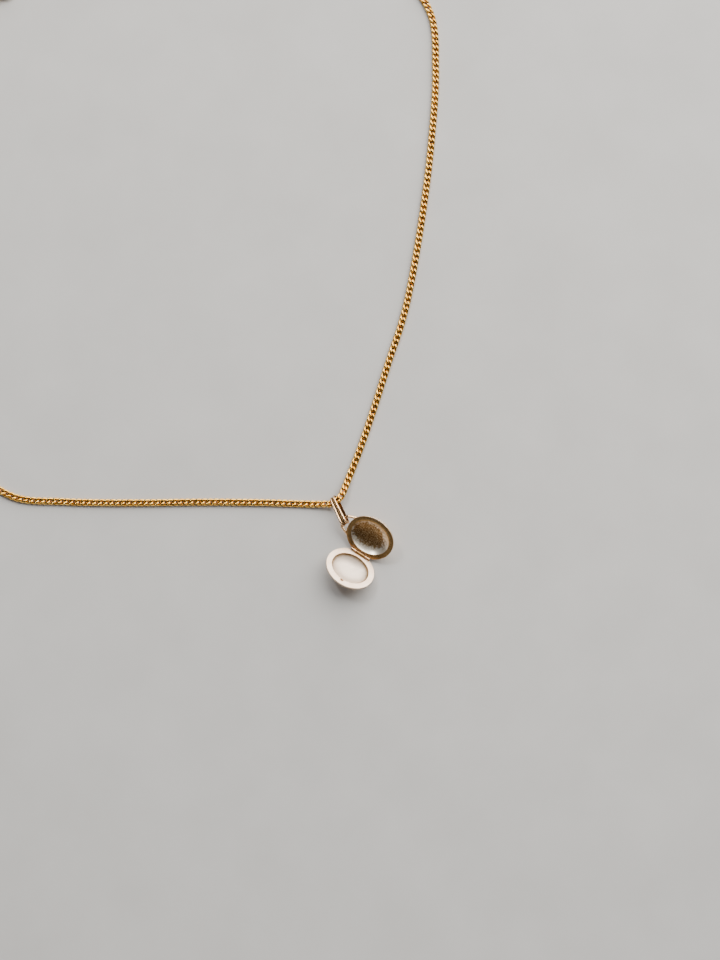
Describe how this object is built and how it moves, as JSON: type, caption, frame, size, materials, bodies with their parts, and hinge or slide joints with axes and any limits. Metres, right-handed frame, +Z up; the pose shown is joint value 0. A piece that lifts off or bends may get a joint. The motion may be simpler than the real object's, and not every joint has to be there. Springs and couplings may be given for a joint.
{
  "type": "locket pendant necklace",
  "caption": "Small oval hinged locket lying open, hung by a ribbed strap bail on a flat curb chain with a bolt ring clasp.",
  "frame": {"origin": "middle of the footprint of the locket, bow and bail, on the surface that the necklace lies on", "axes": "+Z up from the surface, +Y from the locket towards the bail along its longer side, +X to the right"},
  "size_m": [0.1279, 0.1747, 0.0074],
  "materials": {
    "rose_gold": "worn polished 9 ct gold, rosy",
    "pale_gold": "satin pale rose gold, softly polished",
    "yellow_gold": "bright polished yellow gold",
    "spring_steel": "drawn wire"
  },
  "bodies": {
    "chain": {"chain_left": "yellow_gold", "chain_right": "yellow_gold", "end_ring_left": "yellow_gold", "end_ring_right": "yellow_gold", "clasp_loop": "yellow_gold", "clasp_ring": "yellow_gold", "clasp_spring": "spring_steel"},
    "bail": {"bail": "rose_gold"},
    "locket_back": {"back_shell": "rose_gold", "back_rim": "rose_gold", "bow": "rose_gold", "snap_lip": "rose_gold", "hinge_knuckle_upper": "rose_gold", "hinge_knuckle_lower": "rose_gold", "hinge_pin": "rose_gold"},
    "locket_front": {"front_shell": "pale_gold", "front_rim": "pale_gold", "hinge_knuckle_front": "pale_gold", "catch_pip": "rose_gold"},
    "clasp_bolt": {"clasp_bolt": "yellow_gold"}
  },
  "joints": [
    {"name": "bail_swing", "type": "hinge", "parent": "chain", "child": "bail", "pos_m": [-0.00616, 0.01131, 0.0016], "axis": [0.8216, 0.5611, 0.1002], "range_deg": [-5, 15]},
    {"name": "locket_swing", "type": "hinge", "parent": "bail", "child": "locket_back", "pos_m": [-0.00417, 0.0056, 0.00342], "axis": [0.4536, 0.6985, 0.5534], "range_deg": [-75, 70]},
    {"name": "locket_hinge", "type": "hinge", "parent": "locket_back", "child": "locket_front", "pos_m": [0.00013, -0.00285, 0.00077], "axis": [-0.8387, 0.5446, 0], "range_deg": [0, 121.1]},
    {"name": "clasp_trigger", "type": "hinge", "parent": "chain", "child": "clasp_bolt", "pos_m": [-0.09701, 0.15325, 0.0011], "axis": [0, 0, 1], "range_deg": [0, 40], "stiffness_Nm_per_rad": 0.001, "springref_deg": -17.19, "deforming": ["clasp_spring"]}
  ]
}
